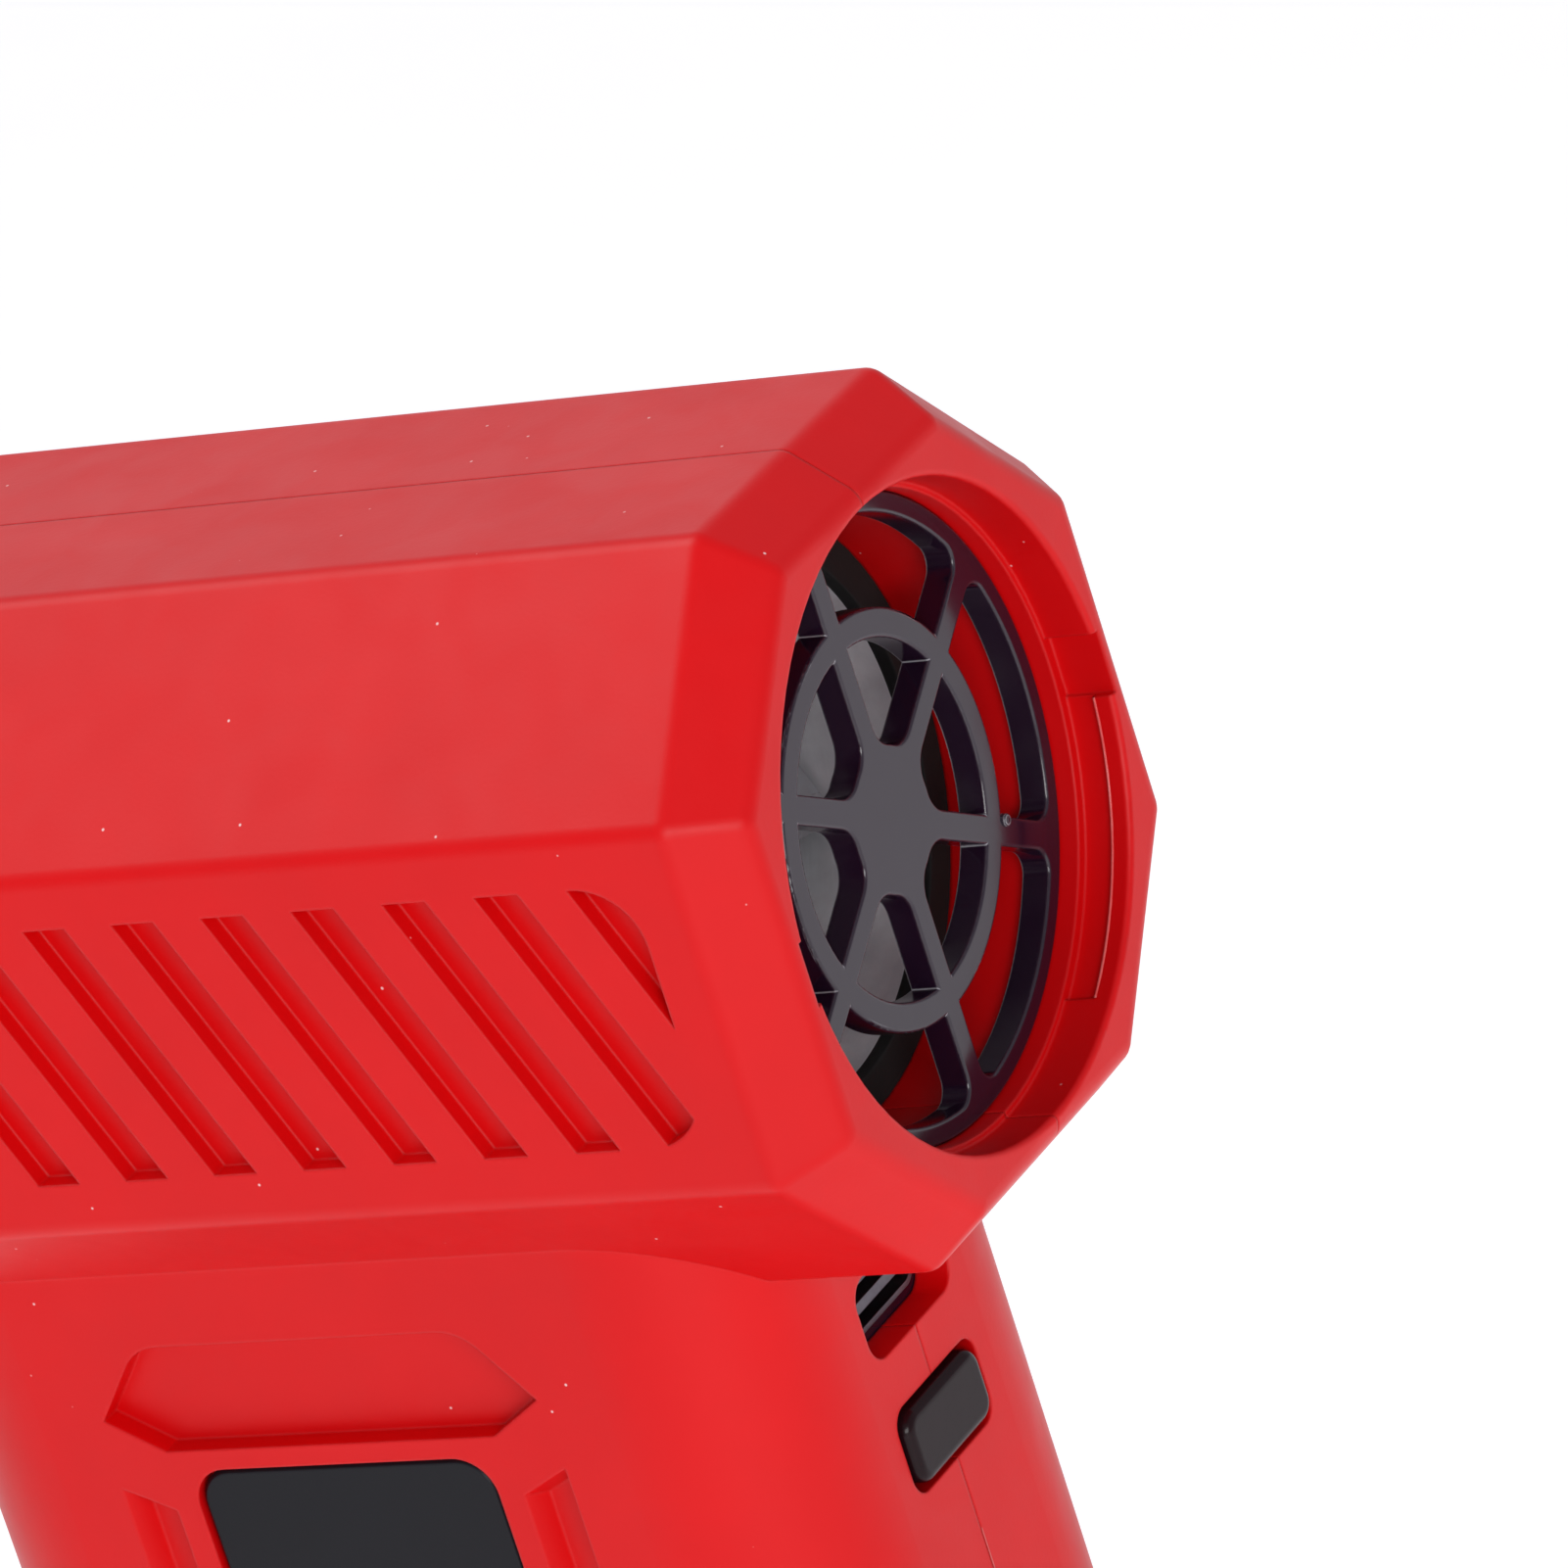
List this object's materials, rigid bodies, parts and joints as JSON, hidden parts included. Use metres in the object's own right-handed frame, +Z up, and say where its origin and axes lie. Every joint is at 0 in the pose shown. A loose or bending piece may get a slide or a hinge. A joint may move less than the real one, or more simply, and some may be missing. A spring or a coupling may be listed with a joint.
{
  "type": "handheld turbo blower",
  "caption": "Handheld battery turbo blower for drying cars: octagonal barrel with rear intake guard, axial fan, twist-lock outlet nozzle, push button and battery handle.",
  "frame": {"origin": "centre of the base face the handle stands on", "axes": "+X forward, the way the air leaves; +Y the left side; +Z up along the handle"},
  "size_m": [0.1327, 0.0492, 0.1462],
  "materials": {
    "red_shell": "satin",
    "gloss_black": "gloss",
    "satin_black": "satin",
    "black_rubber": "matte",
    "aluminium": "brushed",
    "steel": "satin",
    "magnet": "satin",
    "lamination": "satin",
    "copper": "gloss",
    "board": "satin",
    "cell_wrap": "gloss",
    "white_plastic": "satin",
    "nickel": "satin",
    "wire": "satin"
  },
  "bodies": {
    "housing": {"left_shell": "red_shell", "right_shell": "red_shell", "intake_guard": "gloss_black", "fan_duct": "aluminium", "rear_mount_ring": "black_rubber", "front_mount_ring": "black_rubber", "motor_can": "aluminium", "motor_end_bell": "aluminium", "vane_ring": "gloss_black", "front_bearing": "steel", "rear_bearing": "steel", "stator_core": "lamination", "stator_windings": "copper", "tail_cone": "gloss_black", "outlet_duct": "gloss_black", "switch_body": "satin_black", "port_surround": "gloss_black", "usb_socket": "steel", "control_board": "board", "board_capacitor": "satin_black", "battery_cell_1": "cell_wrap", "battery_cell_2": "cell_wrap", "battery_cell_3": "cell_wrap", "cell_holder_bottom": "white_plastic", "cell_holder_top": "white_plastic", "nickel_strips": "nickel", "side_panel_left": "satin_black", "side_panel_right": "satin_black", "base_pad": "black_rubber", "shell_screws": "steel", "motor_leads": "wire", "battery_leads": "wire"},
    "rotor": {"impeller": "aluminium", "impeller_nut": "steel", "motor_shaft": "steel", "rotor_magnet": "magnet"},
    "outlet_nozzle": {"nozzle": "satin_black"},
    "button": {"power_button": "gloss_black", "switch_plunger": "white_plastic"}
  },
  "joints": [
    {"name": "impeller_spin", "type": "hinge", "parent": "housing", "child": "rotor", "pos_m": [0, 0, 0.122], "axis": [1, 0, 0], "continuous": true},
    {"name": "nozzle_twist", "type": "hinge", "parent": "housing", "child": "outlet_nozzle", "pos_m": [0, 0, 0.122], "axis": [1, 0, 0], "range_deg": [0, 25]},
    {"name": "button_press", "type": "slide", "parent": "housing", "child": "button", "axis": [1, 0, 0], "range_m": [0, 0.0009], "stiffness_N_per_m": 2000}
  ]
}
